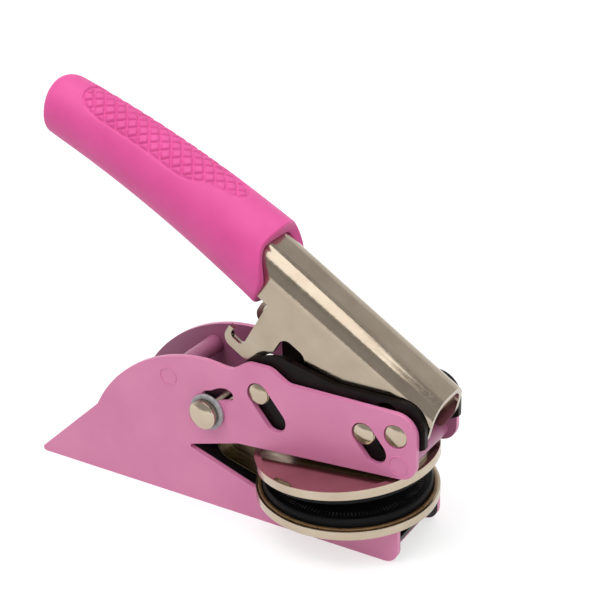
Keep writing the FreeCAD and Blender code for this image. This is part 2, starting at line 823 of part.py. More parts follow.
def lower_insert():
    """Lower disc on the jaw, its die and the rivets that hold the spring strip under it."""
    disc = new_body("lower_disc")
    round_pad(disc, "0", "disc_radius", "jaw_height", "disc_wall", "plate")
    seat = LOWER_TOP + " - die_seat"
    round_pocket(disc, "0", INNER_RADIUS, seat, "die_seat + overrun", "seat")
    for number, across in enumerate(LOWER_RIVETS):
        hole = "jaw_height - overrun"
        round_pocket(disc, across, RIVET_HOLE, hole, "disc_wall + 2 * overrun", "hole_%d" % number)
    place(disc)
    die = new_body("lower_die")
    solid = round_pad(
        die, "0", INNER_RADIUS + " - running_fit", seat, "die_seat + die_proud", "block"
    )
    soften(die, solid, LOWER_TOP + " + die_proud", "rivet_edge")
    place(die)
    head_low = "jaw_height - leaf_wall - rivet_head"
    rivets("lower_rivets", LOWER_RIVETS, head_low, "leaf_wall + disc_wall - die_seat", True)


def upper_insert():
    """Upper disc in its tilted frame, with its die, thrust rail, rivets and nose stud."""
    at = {"x": "-upper_turn_back", "z": "upper_turn_height", "turn": "-upper_tilt"}
    centre = "upper_turn_back"
    disc = new_body("upper_disc")
    round_pad(disc, centre, "disc_radius", UPPER_BOTTOM, "disc_wall", "plate")
    below = UPPER_BOTTOM + " - overrun"
    round_pocket(disc, centre, INNER_RADIUS, below, "die_seat + overrun", "seat")
    half = "(leaf_half_width + land_play)"
    reach = "sqrt(%s * %s - %s * %s)" % (INNER_RADIUS, INNER_RADIUS, half, half)
    ends = (centre + " - " + reach, centre + " + " + reach)
    hollow = UPPER_TOP + " - top_recess"
    for side, start, end in (("", ends[0], ends[1]), ("-", ends[1], ends[0])):
        sketch = sketch_on(disc, "XY_Plane", "top_hollow")
        lift(sketch, hollow)
        outline(sketch, [(start, side + half, INNER_RADIUS), (end, side + half)])
        pocket(disc, sketch, "top_recess + overrun", middle=False, flip=True)
    mark = sketch_on(disc, "XY_Plane", "rim_mark")
    lift(mark, UPPER_TOP + " - top_recess")
    ring = "(disc_radius - rim_width / 2)"
    run = "(mark_length / 2)"
    slot(mark, *[
        (
            "%s + %s * cos(mark_angle) %s %s * sin(mark_angle)" % (centre, ring, sign, run),
            "-(%s * sin(mark_angle)) %s %s * cos(mark_angle)" % (ring, sign, run),
        )
        for sign in ("-", "+")
    ], "mark_width / 2")
    pocket(disc, mark, "top_recess + overrun", middle=False, flip=True)
    for number, across in enumerate(UPPER_RIVETS):
        round_pocket(disc, across, RIVET_HOLE, below, "disc_wall + 2 * overrun", "hole_%d" % number)
    place(disc, **at)
    die = new_body("upper_die")
    low = UPPER_BOTTOM + " - die_proud"
    solid = round_pad(
        die, centre, INNER_RADIUS + " - running_fit", low, "die_seat + die_proud", "block"
    )
    soften(die, solid, low, "rivet_edge")
    place(die, **at)
    rail = new_body("thrust_rail")
    strip = sketch_on(rail, "XY_Plane", "rail_outline")
    lift(strip, UPPER_TOP + " + leaf_wall")
    rear = centre + " - rail_back"
    front = centre + " + rail_reach"
    outline(strip, [
        (rear, "-rail_half_width"), (rear, "rail_half_width"),
        (front, "rail_half_width"), (front, "-rail_half_width"),
    ])
    pad(rail, strip, "rail_wall", middle=False)
    for number, across in enumerate(UPPER_RIVETS):
        base = UPPER_TOP + " + leaf_wall - overrun"
        round_pocket(rail, across, RIVET_HOLE, base, "rail_wall + 2 * overrun", "hole_%d" % number)
    place(rail, **at)
    shank = "disc_wall - die_seat + leaf_wall + rail_wall"
    rivets("upper_rivets", UPPER_RIVETS, RAIL_TOP, shank, False, at)
    stud = new_body("nose_stud")
    nose = sketch_on(stud, "XY_Plane", "nose")
    lift(nose, UPPER_TOP)
    ahead = centre + " + disc_radius - leaf_front_inset + stud_gap + stud_radius"
    slot(nose, (ahead, "-stud_offset"), (ahead, "stud_offset"), "stud_radius")
    pad(stud, nose, "stud_height", middle=False)
    place(stud, **at)


def rivets(label, places, head_low, shank, shank_above, at=None):
    """Two rivets in one node, each a flat head with a shank above or below it."""
    pieces = []
    for number, across in enumerate(places):
        body = doc.addObject("PartDesign::Body", "%s_%d" % (label, number))
        round_pad(body, across, "rivet_head_radius", head_low, "rivet_head", "head")
        foot = head_low + " + rivet_head" if shank_above else "%s - (%s)" % (head_low, shank)
        round_pad(body, across, "rivet_radius", foot, shank, "shank")
        place(body, **(at or {}))
        pieces.append(body)
    group = doc.addObject("Part::Compound", label)
    group.Label = label
    group.Links = pieces
    PARTS.append(group)


def insert_spring():
    """Steel strip from under the lower disc, round its bend and over the upper disc."""
    body = new_body("insert_spring")
    profile = sketch_on(body, "XZ_Plane", "strip_outline")
    level = "jaw_height"
    wall = "leaf_wall"
    turn = upper("leaf_bend_reach", UPPER_TOP + " - leaf_bend")
    top_end = "(upper_turn_back + disc_radius - leaf_front_inset)"

    def low_tangent(radius):
        return (
            "%s - %s * sin(leaf_rise_angle)" % (turn[0], radius),
            "%s - %s * cos(leaf_rise_angle)" % (turn[1], radius),
        )

    def knee(radius, height):
        spot = low_tangent(radius)
        return ("%s + (%s - (%s)) / tan(leaf_rise_angle)" % (spot[0], spot[1], height), height)

    inner = "leaf_bend"
    outer = "(leaf_bend + leaf_wall)"
    outline(profile, [
        ("-leaf_low_end_back", level + " - " + wall),
        knee(outer, level + " - " + wall),
        (*low_tangent(outer), outer),
        upper("leaf_bend_reach", UPPER_TOP + " + " + wall),
        upper(top_end, UPPER_TOP + " + " + wall),
        upper(top_end, UPPER_TOP),
        (*upper("leaf_bend_reach", UPPER_TOP), inner, "inward"),
        low_tangent(inner),
        knee(inner, level),
        ("-leaf_low_end_back", level),
    ])
    pad(body, profile, "2 * leaf_half_width")
    for number, across in enumerate(LOWER_RIVETS):
        low = "jaw_height - leaf_wall - overrun"
        round_pocket(body, across, RIVET_HOLE, low, "leaf_wall + 2 * overrun", "low_%d" % number)
    for number, across in enumerate(UPPER_RIVETS):
        sketch = sketch_on(body, "XY_Plane", "high_%d" % number)
        spot = upper(across, UPPER_TOP + " - overrun")
        sketch.AttachmentOffset = FreeCAD.Placement(
            FreeCAD.Vector(value(spot[0]), 0, value(spot[1])),
            FreeCAD.Rotation(LEFT, value("-upper_tilt")),
        )
        sketch.setExpression("AttachmentOffset.Base.x", bound(spot[0]))
        sketch.setExpression("AttachmentOffset.Base.z", bound(spot[1]))
        sketch.setExpression("AttachmentOffset.Rotation.Angle", bound("-upper_tilt"))
        circle(sketch, "0", "0", RIVET_HOLE)
        pocket(body, sketch, "leaf_wall + 2 * overrun", middle=False, flip=True)
    place(body)


def lock_piece(label, side, radius, low, length):
    """Round plate on the lock pin, outside one side plate, from a distance off the middle."""
    body = new_body(label)
    ring = sketch_on(body, "XZ_Plane", label + "_ring")
    circle(ring, "0", "0", radius)
    solid = pad(body, ring, length)
    place(body, x=LOCK_LOW[0], y="%s(%s + %s / 2)" % (side, low, length), z=LOCK_LOW[1])
    return body, solid


def lock_washer(label, side):
    low = "half_width + lock_side_play"
    body, solid = lock_piece(label, side, "lock_washer_radius", low, "lock_washer_wall")
    bore = sketch_on(body, "XZ_Plane", label + "_bore")
    circle(bore, "0", "0", "lock_pin_radius + running_fit")
    pocket(body, bore, "lock_washer_wall + overrun")


def lock_cap(label, side):
    """Domed cap with a blind bore in its inner face for the pin's end."""
    low = "half_width + lock_side_play + lock_washer_wall"
    body, solid = lock_piece(label, side, "lock_head_radius", low, "lock_head_length")
    doc.recompute()
    outward = value(side + "1")
    rims = [
        "Edge%d" % number for number, edge in enumerate(solid.Shape.Edges, start=1)
        if edge.Closed and edge.BoundBox.Center.y * outward > 0
    ]
    dome = body.newObject("PartDesign::Fillet", "Dome")
    dome.Base = (solid, rims)
    dome.Radius = value("lock_head_edge")
    dome.setExpression("Radius", "Sizes.lock_head_edge")
    bore = sketch_on(body, "XZ_Plane", label + "_bore")
    lift(bore, "%slock_head_length / 2" % side)
    circle(bore, "0", "0", "lock_pin_radius + running_fit")
    pocket(body, bore, "lock_bore_depth", middle=False, flip=side == "-")


side_plate("right_side_plate", "-1")
side_plate("left_side_plate", "1")
base_plate()
bar("rear_spacer", REAR_SPACER, "spacer_radius - running_fit / 2", "2 * (half_width - spacer_recess)")
bar("front_spacer", FRONT_SPACER, "spacer_radius - running_fit / 2", "2 * (half_width - spacer_recess)")
bar("pivot_pin", PIVOT, "pivot_radius", PIN_LENGTH, "pin_edge")
bar("press_pin", PRESS_PIN, "slide_pin_radius", PIN_LENGTH, "pin_edge")
bar("guide_pin", GUIDE_PIN, "slide_pin_radius", PIN_LENGTH, "pin_edge")
LOCK_SPAN = "2 * (half_width + lock_side_play + lock_washer_wall + lock_bore_depth - running_fit)"
bar("lock_pin", LOCK_LOW, "lock_pin_radius", LOCK_SPAN)
press_arm()
press_foot()
grip(handle_lever())
lower_insert()
upper_insert()
insert_spring()
for prefix, way_out in (("right", "-"), ("left", "")):
    lock_washer(prefix + "_lock_washer", way_out)
    lock_cap(prefix + "_lock_cap", way_out)

doc.recompute()
for item in doc.Objects:
    if "Invalid" in item.State or "Error" in item.State:
        raise RuntimeError("%s failed to build" % item.Label)
os.makedirs("parts", exist_ok=True)
for part in PARTS:
    shape = part.Shape
    if shape.isNull() or not shape.isValid():
        raise RuntimeError("%s has no valid shape" % part.Label)
    shape.exportStep("parts/%s.step" % part.Label)
    box = shape.BoundBox
    print("%-18s %8.1f mm3 in %d solids, z %.2f to %.2f" % (
        part.Label, shape.Volume, len(shape.Solids), box.ZMin, box.ZMax
    ))
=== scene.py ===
import json
import math

import bmesh
import bpy
from mathutils import Matrix, Vector


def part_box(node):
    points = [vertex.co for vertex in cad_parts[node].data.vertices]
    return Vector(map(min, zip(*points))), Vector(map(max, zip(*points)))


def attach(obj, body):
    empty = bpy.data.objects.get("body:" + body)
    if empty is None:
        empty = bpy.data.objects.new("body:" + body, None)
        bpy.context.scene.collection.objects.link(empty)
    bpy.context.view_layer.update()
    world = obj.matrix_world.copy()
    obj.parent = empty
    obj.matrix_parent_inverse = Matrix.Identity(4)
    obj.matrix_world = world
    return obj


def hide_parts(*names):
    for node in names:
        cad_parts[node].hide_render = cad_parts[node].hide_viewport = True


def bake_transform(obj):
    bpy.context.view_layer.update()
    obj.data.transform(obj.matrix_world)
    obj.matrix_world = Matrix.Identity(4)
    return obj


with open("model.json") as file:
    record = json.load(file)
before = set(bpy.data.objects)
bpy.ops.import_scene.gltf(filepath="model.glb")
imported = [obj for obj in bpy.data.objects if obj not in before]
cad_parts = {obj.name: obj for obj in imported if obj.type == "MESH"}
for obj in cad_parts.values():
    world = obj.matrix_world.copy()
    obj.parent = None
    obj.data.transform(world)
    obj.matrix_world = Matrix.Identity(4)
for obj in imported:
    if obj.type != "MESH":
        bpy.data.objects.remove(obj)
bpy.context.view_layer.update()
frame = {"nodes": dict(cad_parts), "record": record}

# Lengths are in millimetres unless a name or comment says otherwise
MM = 0.001
PIVOT = Vector((21.0, 0.0, 38.1))
TILT = math.radians(33.2)

# Camera, fitted to the photograph
IMAGE_WIDTH = 600.0
FOCAL_PIXELS = 1394.28
SENSOR = 36.0
NEAREST = 0.01
EYE = Vector((162.106, -278.029, 215.297))
CAMERA_RIGHT = Vector((0.85220, 0.52243, -0.02867))
CAMERA_UP = Vector((-0.19737, 0.37173, 0.90712))
CAMERA_FORWARD = Vector((-0.48459, 0.76737, -0.41990))


def set_camera():
    data = bpy.data.cameras.new("camera")
    data.sensor_width = SENSOR
    data.lens = FOCAL_PIXELS / IMAGE_WIDTH * SENSOR
    data.clip_start = NEAREST
    camera = bpy.data.objects.new("camera", data)
    bpy.context.scene.collection.objects.link(camera)
    turn = Matrix((CAMERA_RIGHT, CAMERA_UP, -CAMERA_FORWARD)).transposed().to_4x4()
    camera.matrix_world = Matrix.Translation(EYE * MM) @ turn
    bpy.context.scene.camera = camera


class Nodes:
    """Short names for the shader nodes of one material or world."""

    def __init__(self, tree):
        self.tree = tree

    def add(self, kind, **values):
        node = self.tree.nodes.new("ShaderNode" + kind)
        for name, value in values.items():
            setattr(node, name, value)
        return node

    def put(self, socket, value):
        if isinstance(value, bpy.types.NodeSocket):
            self.tree.links.new(value, socket)
        elif isinstance(value, (tuple, list)) and len(value) == 3 and socket.type == "RGBA":
            socket.default_value = (*value, 1.0)
        else:
            socket.default_value = value

    def place(self, scale=1.0):
        """Object coordinates in millimetres times a scale, one number or three."""
        factor = (scale,) * 3 if isinstance(scale, (int, float)) else scale
        node = self.add("Mapping")
        self.put(node.inputs["Vector"], self.add("TexCoord").outputs["Object"])
        node.inputs["Scale"].default_value = [f / MM for f in factor]
        return node.outputs["Vector"]

    def noise(self, where, detail=2.0, rough=0.5, warp=0.0):
        node = self.add("TexNoise")
        self.put(node.inputs["Vector"], where)
        node.inputs["Scale"].default_value = 1.0
        node.inputs["Detail"].default_value = detail
        node.inputs["Roughness"].default_value = rough
        node.inputs["Distortion"].default_value = warp
        return node.outputs["Fac"]

    def axes(self):
        """The three object coordinates in millimetres."""
        node = self.add("SeparateXYZ")
        self.put(node.inputs[0], self.place())
        return node.outputs["X"], node.outputs["Y"], node.outputs["Z"]

    def span(self, value, low, high, start=0.0, end=1.0):
        """Map a value from one range to another, held at both ends."""
        node = self.add("MapRange")
        for name, number in zip(("From Min", "From Max", "To Min", "To Max"),
                                (low, high, start, end)):
            node.inputs[name].default_value = number
        self.put(node.inputs["Value"], value)
        return node.outputs["Result"]

    def ramp(self, value, stops):
        """Colour ramp from rows of a place and a linear colour."""
        node = self.add("ValToRGB")
        band = node.color_ramp
        while len(band.elements) < len(stops):
            band.elements.new(0.5)
        for element, (place, colour) in zip(band.elements, stops):
            element.position = place
            element.color = (*colour, 1.0)
        self.put(node.inputs["Fac"], value)
        return node.outputs["Color"]

    def vector(self, kind, a, b=(0.0, 0.0, 0.0)):
        """The number that an operation on vectors gives."""
        node = self.add("VectorMath", operation=kind)
        self.put(node.inputs[0], a)
        self.put(node.inputs[1], b)
        return node.outputs["Value"]

    def math(self, kind, a, b=0.0):
        node = self.add("Math", operation=kind)
        self.put(node.inputs[0], a)
        self.put(node.inputs[1], b)
        return node.outputs["Value"]

    def blend(self, share, first, second):
        node = self.add("Mix", data_type="RGBA")
        self.put(node.inputs["Factor"], share)
        self.put(node.inputs["A"], first)
        self.put(node.inputs["B"], second)
        return node.outputs["Result"]

    def bump(self, height, depth):
        """Bump of a height from 0 to 1, as deep as the given millimetres."""
        node = self.add("Bump")
        node.inputs["Distance"].default_value = depth * MM
        self.put(node.inputs["Height"], height)
        return node.outputs["Normal"]


def new_material(name):
    material = bpy.data.materials.new(name)
    material.use_nodes = True
    nodes = Nodes(material.node_tree)
    shader = material.node_tree.nodes["Principled BSDF"]
    return material, nodes, shader


def srgb(red, green, blue):
    """Linear colour of an 8-bit sRGB colour."""
    def linear(level):
        share = level / 255
        return share / 12.92 if share <= 0.04045 else ((share + 0.055) / 1.055) ** 2.4
    return tuple(linear(level) for level in (red, green, blue))


# Spans, in half width and height, over which the painted shade on the plates' insides begins, and the
# deeper, near black painted shade low between them
INNER_FACE = (10.72, 10.95)
FOOT_TOP = (0.2, 0.6)
DEEP_SHADE_TOP = (20.0, 27.0)


def painted_shade_shares(n):
    """Shares of the painted shade between the side plates, and of the deeper, near black painted
    shade low in there.
    """
    _, across, up = n.axes()
    inner = n.span(n.math("ABSOLUTE", across), *INNER_FACE, 1.0, 0.0)
    above_foot = n.span(up, *FOOT_TOP)
    low = n.span(up, *DEEP_SHADE_TOP, 1.0, 0.0)
    inside = n.math("MULTIPLY", inner, above_foot)
    return inside, n.math("MULTIPLY", inside, low)


def paint():
    """Pink enamel, baked on: satin, with a slight orange peel and paler rubbed patches.

    Between the plates it is darker, a painted shade, and low in there near black, a deeper painted
    shade.
    """
    material, n, shader = new_material("frame_paint")
    cloud = n.noise(n.place(0.05), detail=3)
    speck = n.noise(n.place(0.9), detail=4, rough=0.6)
    base = n.blend(n.span(cloud, 0.35, 0.65), srgb(211, 121, 164), srgb(219, 132, 172))
    rubbed = n.blend(n.span(speck, 0.62, 0.8, 0.0, 0.35), base, srgb(228, 156, 190))
    # Painted shade: duller, darker paint between the plates, near black low in there
    shade, deep_shade = painted_shade_shares(n)
    shaded_paint = n.blend(shade, rubbed, srgb(172, 102, 136))
    n.put(shader.inputs["Base Color"], n.blend(deep_shade, shaded_paint, srgb(24, 15, 17)))
    n.put(shader.inputs["Roughness"], n.span(cloud, 0.3, 0.7, 0.34, 0.44))
    peel = n.noise(n.place(1.3), detail=2)
    n.put(shader.inputs["Normal"], n.bump(peel, 0.02))
    shader.inputs["Specular IOR Level"].default_value = 0.45
    shader.inputs["Coat Weight"].default_value = 0.15
    shader.inputs["Coat Roughness"].default_value = 0.25
    return material


def nickel(name="nickel", deep=(182, 167, 147), pale=(194, 180, 161)):
    """Warm nickel plate on pressed steel, with drawing streaks along X and faint clouding."""
    material, n, shader = new_material(name)
    streak = n.noise(n.place((0.03, 1.6, 1.6)), detail=3)
    cloud = n.noise(n.place(0.12), detail=3)
    n.put(shader.inputs["Base Color"],
          n.blend(n.span(cloud, 0.3, 0.7), srgb(*deep), srgb(*pale)))
    shader.inputs["Metallic"].default_value = 1.0
    n.put(shader.inputs["Roughness"], n.span(streak, 0.3, 0.7, 0.12, 0.24))
    n.put(shader.inputs["Normal"], n.bump(streak, 0.012))
    return material


def rubber():
    """Pink rubber: matt, with a fine moulded grain."""
    material, n, shader = new_material("grip_rubber")
    cloud = n.noise(n.place(0.08), detail=3)
    grain = n.noise(n.place(2.4), detail=3, rough=0.65)
    n.put(shader.inputs["Base Color"],
          n.blend(n.span(cloud, 0.3, 0.7), srgb(208, 73, 141), srgb(218, 82, 152)))
    n.put(shader.inputs["Roughness"], n.span(grain, 0.3, 0.7, 0.48, 0.6))
    n.put(shader.inputs["Normal"], n.bump(grain, 0.03))
    shader.inputs["Specular IOR Level"].default_value = 0.35
    shader.inputs["Sheen Weight"].default_value = 0.06
    shader.inputs["Sheen Roughness"].default_value = 0.5
    return material


def die_black():
    """Black moulded resin of the seal dies, with a fine grain."""
    material, n, shader = new_material("die_black")
    grain = n.noise(n.place(1.8), detail=4, rough=0.6)
    n.put(shader.inputs["Base Color"],
          n.blend(n.span(grain, 0.3, 0.7), (0.003, 0.003, 0.004), (0.008, 0.008, 0.009)))
    n.put(shader.inputs["Roughness"], n.span(grain, 0.3, 0.7, 0.28, 0.45))
    n.put(shader.inputs["Normal"], n.bump(grain, 0.03))
    shader.inputs["Specular IOR Level"].default_value = 0.1
    return material


def black_steel():
    """Blackened steel of the press arm, with brown patches at random; its black is made darker still
    as painted shade, for the handle's shadow over it.
    """
    material, n, shader = new_material("black_steel")
    cloud = n.noise(n.place(0.25), detail=5, rough=0.6)
    # Partly the arm's own black, partly painted shade: darkened for the handle's shadow
    n.put(shader.inputs["Base Color"],
          n.blend(n.span(cloud, 0.4, 0.7), srgb(8, 4, 4), srgb(26, 15, 13)))
    shader.inputs["Specular IOR Level"].default_value = 0.12
    n.put(shader.inputs["Roughness"], n.span(cloud, 0.3, 0.7, 0.28, 0.45))
    n.put(shader.inputs["Normal"], n.bump(n.noise(n.place(3.0), detail=3), 0.015))
    return material


def plain_steel():
    """Zinc-plated steel of the pins and rivets."""
    material, n, shader = new_material("plain_steel")
    cloud = n.noise(n.place(0.5), detail=4)
    n.put(shader.inputs["Base Color"],
          n.blend(n.span(cloud, 0.3, 0.7), srgb(178, 167, 148), srgb(204, 194, 176)))
    shader.inputs["Metallic"].default_value = 0.7
    n.put(shader.inputs["Roughness"], n.span(cloud, 0.3, 0.7, 0.22, 0.36))
    n.put(shader.inputs["Normal"], n.bump(n.noise(n.place(2.5), detail=3), 0.01))
    return material


def spring_steel():
    """Tempered strip: straw to brown steel with streaks along its length."""
    material, n, shader = new_material("spring_steel")
    streak = n.noise(n.place((0.1, 2.2, 0.1)), detail=3)
    n.put(shader.inputs["Base Color"],
          n.blend(n.span(streak, 0.3, 0.7), srgb(96, 86, 62), srgb(132, 120, 92)))
    shader.inputs["Metallic"].default_value = 1.0
    n.put(shader.inputs["Roughness"], n.span(streak, 0.3, 0.7, 0.22, 0.38))
    n.put(shader.inputs["Normal"], n.bump(streak, 0.01))
    return material


def washer_grey():
    """Grey nylon washer."""
    material, n, shader = new_material("washer_grey")
    cloud = n.noise(n.place(0.7), detail=3)
    n.put(shader.inputs["Base Color"],
          n.blend(n.span(cloud, 0.3, 0.7), srgb(150, 150, 152), srgb(176, 176, 178)))
    n.put(shader.inputs["Roughness"], n.span(cloud, 0.3, 0.7, 0.4, 0.52))
    n.put(shader.inputs["Normal"], n.bump(n.noise(n.place(2.0), detail=3), 0.015))
    return material


def bead_brown():
    """Straw-brown lacquered bead of the lower disc, with fine turning lines."""
    material, n, shader = new_material("bead_brown")
    cloud = n.noise(n.place(0.4), detail=4)
    n.put(shader.inputs["Base Color"],
          n.blend(n.span(cloud, 0.3, 0.7), srgb(112, 84, 54), srgb(140, 110, 76)))
    shader.inputs["Metallic"].default_value = 0.6
    n.put(shader.inputs["Roughness"], n.span(cloud, 0.3, 0.7, 0.25, 0.4))
    n.put(shader.inputs["Normal"], n.bump(n.noise(n.place(3.0), detail=3), 0.01))
    return material


def stud_steel():
    """Bare pale steel of the stud on the upper disc, brushed across."""
    material, n, shader = new_material("stud_steel")
    streak = n.noise(n.place((1.8, 0.2, 0.8)), detail=3)
    n.put(shader.inputs["Base Color"],
          n.blend(n.span(streak, 0.3, 0.7), srgb(186, 172, 152), srgb(206, 196, 178)))
    shader.inputs["Metallic"].default_value = 0.25
    n.put(shader.inputs["Roughness"], n.span(streak, 0.3, 0.7, 0.35, 0.5))
    n.put(shader.inputs["Normal"], n.bump(streak, 0.01))
    return material


def rail_steel_painted_light():
    """Dull rolled steel of the thrust rail, with fine lines along it, painted paler than the steel's
    own tone: painted light on the rail, which sits in shade.
    """
    material, n, shader = new_material("rail_steel_painted_light")
    streak = n.noise(n.place((0.06, 1.8, 1.8)), detail=4)
    # Painted light: a pale base so that the shaded rail reads light
    n.put(shader.inputs["Base Color"],
          n.blend(n.span(streak, 0.3, 0.7), srgb(172, 156, 130), srgb(204, 192, 168)))
    shader.inputs["Metallic"].default_value = 0.25
    n.put(shader.inputs["Roughness"], n.span(streak, 0.3, 0.7, 0.3, 0.45))
    n.put(shader.inputs["Normal"], n.bump(streak, 0.012))
    return material


def rib_black_painted_highlight():
    """Black resin of the die's ribs, painted paler in random patches: a painted highlight of light
    caught on the ribs.
    """
    material, n, shader = new_material("rib_black_painted_highlight")
    cloud = n.noise(n.place(0.35), detail=4)
    # Painted highlight: paler than the die's own black
    n.put(shader.inputs["Base Color"],
          n.blend(n.span(cloud, 0.35, 0.65), srgb(30, 29, 30), srgb(84, 80, 78)))
    n.put(shader.inputs["Roughness"], n.span(cloud, 0.3, 0.7, 0.3, 0.5))
    return material


MAKERS = {
    "frame_paint": paint, "nickel": nickel, "grip_rubber": rubber, "die_black": die_black,
    "black_steel": black_steel, "plain_steel": plain_steel, "spring_steel": spring_steel,
    "washer_grey": washer_grey,
}
MATERIALS = {slot: make() for slot, make in MAKERS.items()}
# Darker copy of the nickel for the handle: painted shade, for the darker reflections on its sides and
# top
MATERIALS["handle"] = nickel("nickel_handle_painted_shade", deep=(166, 152, 134), pale=(177, 164, 147))
MATERIALS["bead"] = bead_brown()
MATERIALS["stud"] = stud_steel()
MATERIALS["rail"] = rail_steel_painted_light()
MATERIALS["rib"] = rib_black_painted_highlight()
OWN_MATERIAL = {"handle_lever": "handle", "nose_stud": "stud", "thrust_rail": "rail"}


# Rounding of the outside edges of punched and painted pieces, in millimetres
EDGES = {
    "right_side_plate": 0.3, "left_side_plate": 0.3, "handle_lever": 0.45, "press_arm": 0.25,
    "upper_disc": 0.15, "lower_disc": 0.15, "thrust_rail": 0.15, "nose_stud": 0.3,
    "right_lock_washer": 0.2, "left_lock_washer": 0.2,
}
EDGE_WELD = 0.002
EDGE_SEGMENTS = 3
EDGE_ANGLE = math.radians(35)


def slot_of_nodes():
    """Material slot of every node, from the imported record."""
    return {part["node"]: part["material_slot"] for part in frame["record"]["subparts"]}


def dress_nodes():
    """Give every CAD node its material, and those named in EDGES a small bevel that catches the
    light.
    """
    slots = slot_of_nodes()
    for name, piece in frame["nodes"].items():
        material = MATERIALS[OWN_MATERIAL.get(name, slots[name])]
        piece.data.materials.clear()
        piece.data.materials.append(material)
        if name in EDGES:
            join = piece.modifiers.new("join", "WELD")
            join.merge_threshold = EDGE_WELD * MM
            edge = piece.modifiers.new("edge", "BEVEL")
            edge.width = EDGES[name] * MM
            edge.segments = EDGE_SEGMENTS
            edge.limit_method = "ANGLE"
            edge.angle_limit = EDGE_ANGLE
            edge.harden_normals = True


# Grip: round sections along the handle, from the mouth to the rounded end
GRIP_MOUTH = -54.4
GRIP_END = -135.0
GRIP_WIDE = 11.3
GRIP_SLIM = 8.6
GRIP_MIDDLE = 5.8
GRIP_DROP = 9.5
GRIP_END_ROUND = 7.0
GRIP_END_POWER = 2.6
GRIP_END_SLANT = 9.5
GRIP_SLANT_LENGTH = 16.0
GRIP_LIP = 0.6
# Mouth of the grip: its edge's place at the top, and how it rises forward round the sides
MOUTH_TOP_SHIFT = -2.2
MOUTH_RISE = 6.0
MOUTH_RISE_FROM = math.radians(40)
MOUTH_RISE_OVER = math.radians(62)
MOUTH_FADE = 12.0
MOUTH_STEPS = 6
# Bore that the handle's channel fills
BORE_DEPTHS = (8.0, 4.0, 2.0)
BORE_EDGE = 0.25
BORE_STEP = 0.02
BORE_HALF_WIDTH = 8.62
BORE_TOP = 12.42
BORE_BOTTOM = 0.28
BORE_ROUND = 5.9
BORE_LOW_ROUND = 1.0
# Grooves: two crossing families in an oval on the grip's back
GROOVE_ALONG = 3.72
GROOVE_ACROSS = 4.4
GROOVE_HALF = 0.32
GROOVE_DEPTH = 0.65
GROOVE_FIRST = -68.0
GROOVE_LAST = -124.0
GROOVE_AROUND = 9.5
GROOVE_OUTSIDE = 1.5
GROOVE_EDGE_SHARE = 0.8
GROOVE_RUN_IN = 0.4
GROOVE_CROSSING = (-100.2, 1.1)
GROOVE_OUTLINE = [
    (-69.3, 0.0), (-69.8, 1.5), (-70.7, 2.6), (-72.6, 3.5), (-75.5, 4.1), (-78.2, 4.5),
    (-80.2, 5.4), (-82.4, 7.0), (-85.0, 8.0), (-89.0, 8.1), (-95.0, 7.8), (-105.0, 7.7),
    (-113.5, 7.6), (-117.0, 7.0), (-119.4, 6.0), (-121.2, 4.6), (-122.2, 2.8), (-122.6, 0.0),
]


def grip_middle(along):
    share = (GRIP_MOUTH - along) / (GRIP_MOUTH - GRIP_END)
    return GRIP_MIDDLE - GRIP_DROP * share * share


def full_radius(along):
    share = (GRIP_MOUTH - along) / (GRIP_MOUTH - GRIP_END)
    return GRIP_WIDE + (GRIP_SLIM - GRIP_WIDE) * share


def grip_radius(along):
    radius = full_radius(along)
    left = (along - GRIP_END) / GRIP_END_ROUND
    if left < 1:
        radius *= math.sqrt(max(0.0, 1 - (1 - left) ** GRIP_END_POWER))
    return radius


def end_slant(along, angle):
    """How far a place near the end stands forward: the lower side of the end is shorter."""
    late = max(0.0, 1 - (along - GRIP_END) / GRIP_SLANT_LENGTH)
    below = (1 - math.cos(angle) * grip_radius(along) / full_radius(along)) / 2
    return GRIP_END_SLANT * late * late * below


def eased(share):
    """Share from 0 to 1 with a soft start and end."""
    return share * share * (3 - 2 * share)


def mouth_shift(angle):
    """How far the mouth's edge stands forward of its plane: back at the top, forward below."""
    turn = abs(angle)
    if turn < MOUTH_RISE_FROM:
        return MOUTH_TOP_SHIFT
    return MOUTH_TOP_SHIFT + MOUTH_RISE * eased(min(1.0, (turn - MOUTH_RISE_FROM) / MOUTH_RISE_OVER))


def outline_half(along):
    """Half width of the grooved oval at a place along the grip."""
    for (x0, w0), (x1, w1) in zip(GROOVE_OUTLINE, GROOVE_OUTLINE[1:]):
        if x1 <= along <= x0:
            return w0 + (w1 - w0) * (along - x0) / (x1 - x0)
    return -1.0


def outline_distance(along, around):
    """Distance from the oval's outline, above zero inside it."""
    nearest = 1e9
    spot = Vector((along, abs(around)))
    for a, b in zip(GROOVE_OUTLINE, GROOVE_OUTLINE[1:]):
        start, side = Vector(a), Vector(b) - Vector(a)
        share = max(0.0, min(1.0, (spot - start).dot(side) / side.length_squared))
        nearest = min(nearest, (spot - start - side * share).length)
    return nearest if abs(around) < outline_half(along) else -nearest


